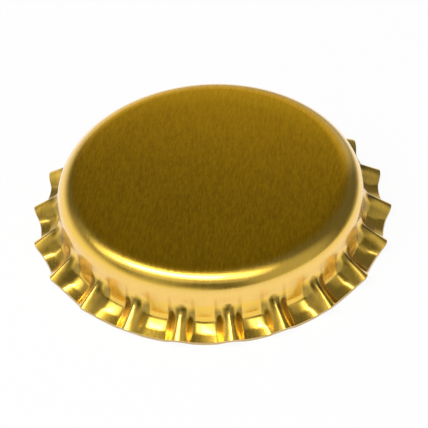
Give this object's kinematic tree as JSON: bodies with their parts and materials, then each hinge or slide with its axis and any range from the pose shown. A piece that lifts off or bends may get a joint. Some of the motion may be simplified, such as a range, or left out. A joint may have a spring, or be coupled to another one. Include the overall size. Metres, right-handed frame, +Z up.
{
  "type": "bottle cap",
  "caption": "Round crimp-on bottle cap, unused: a gold-lacquered sheet shell with a flat panel, rounded edge and flared fluted skirt, and a moulded sealing liner inside.",
  "frame": {"origin": "centre of the plane that the rim of the skirt stands on", "axes": "+Z up, out of the top panel, along the cap's axis; +X through the crest of one flute"},
  "size_m": [0.0319, 0.032, 0.006],
  "materials": {
    "gold_lacquer": "satin",
    "liner_compound": "satin"
  },
  "bodies": {
    "root": {"shell": "gold_lacquer", "liner": "liner_compound"}
  },
  "joints": []
}
